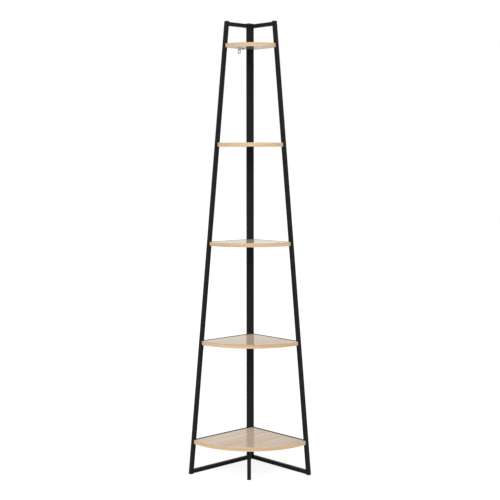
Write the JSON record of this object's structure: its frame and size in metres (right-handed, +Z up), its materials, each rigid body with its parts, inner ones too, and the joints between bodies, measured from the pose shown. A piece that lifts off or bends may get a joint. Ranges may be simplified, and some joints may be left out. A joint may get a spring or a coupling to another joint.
{
  "type": "corner shelf unit",
  "caption": "Tall tapering corner shelf with quarter-round boards carried by two welded square-tube side frames and a short front leg.",
  "frame": {"origin": "bottom middle of the unit's bounding box, on the floor; the corner of the room is at about x -0.173, y +0.173", "axes": "+Z up; the right-hand wall runs along +X at y +0.173 and the left-hand wall along -Y at x -0.173, so the room lies towards +X and -Y"},
  "size_m": [0.346, 0.346, 1.8],
  "materials": {
    "powder_coated_steel": "satin black powder coat",
    "oak_board": "light oak effect laminate, satin",
    "oak_edge_band": "warm oak effect edge band, satin",
    "black_plastic": "matt black moulded plastic",
    "zinc_bracket": "bright zinc plate",
    "zinc_screw": "bright zinc plate",
    "black_screw": "black oxide"
  },
  "bodies": {
    "root": {"right_back_post": "powder_coated_steel", "right_front_post": "powder_coated_steel", "right_top_rail": "powder_coated_steel", "right_bottom_rail": "powder_coated_steel", "right_shelf_rail_1": "powder_coated_steel", "right_shelf_rail_2": "powder_coated_steel", "right_shelf_rail_3": "powder_coated_steel", "right_shelf_rail_4": "powder_coated_steel", "right_shelf_rail_5": "powder_coated_steel", "left_back_post": "powder_coated_steel", "left_front_post": "powder_coated_steel", "left_top_rail": "powder_coated_steel", "left_bottom_rail": "powder_coated_steel", "left_shelf_rail_1": "powder_coated_steel", "left_shelf_rail_2": "powder_coated_steel", "left_shelf_rail_3": "powder_coated_steel", "left_shelf_rail_4": "powder_coated_steel", "left_shelf_rail_5": "powder_coated_steel", "shelf_board_1": "oak_board", "shelf_board_2": "oak_board", "shelf_board_3": "oak_board", "shelf_board_4": "oak_board", "shelf_board_5": "oak_board", "edge_band_1": "oak_edge_band", "edge_band_2": "oak_edge_band", "edge_band_3": "oak_edge_band", "edge_band_4": "oak_edge_band", "edge_band_5": "oak_edge_band", "front_leg": "powder_coated_steel", "front_leg_plate": "powder_coated_steel", "right_back_post_top_plug": "black_plastic", "right_back_post_foot_plug": "black_plastic", "right_front_post_top_plug": "black_plastic", "right_front_post_foot_plug": "black_plastic", "left_back_post_top_plug": "black_plastic", "left_back_post_foot_plug": "black_plastic", "left_front_post_top_plug": "black_plastic", "left_front_post_foot_plug": "black_plastic", "front_leg_foot_plug": "black_plastic", "right_shelf_screw_1_1": "zinc_screw", "right_shelf_screw_2_1": "zinc_screw", "right_shelf_screw_3_1": "zinc_screw", "right_shelf_screw_4_1": "zinc_screw", "right_shelf_screw_4_2": "zinc_screw", "right_shelf_screw_5_1": "zinc_screw", "right_shelf_screw_5_2": "zinc_screw", "left_shelf_screw_1_1": "zinc_screw", "left_shelf_screw_2_1": "zinc_screw", "left_shelf_screw_3_1": "zinc_screw", "left_shelf_screw_4_1": "zinc_screw", "left_shelf_screw_4_2": "zinc_screw", "left_shelf_screw_5_1": "zinc_screw", "left_shelf_screw_5_2": "zinc_screw", "post_bolt_1": "zinc_screw", "post_bolt_2": "zinc_screw", "post_bolt_3": "zinc_screw", "wall_bracket": "zinc_bracket", "wall_bracket_screw": "black_screw", "front_leg_screw_1": "black_screw", "front_leg_screw_2": "black_screw"}
  },
  "joints": []
}
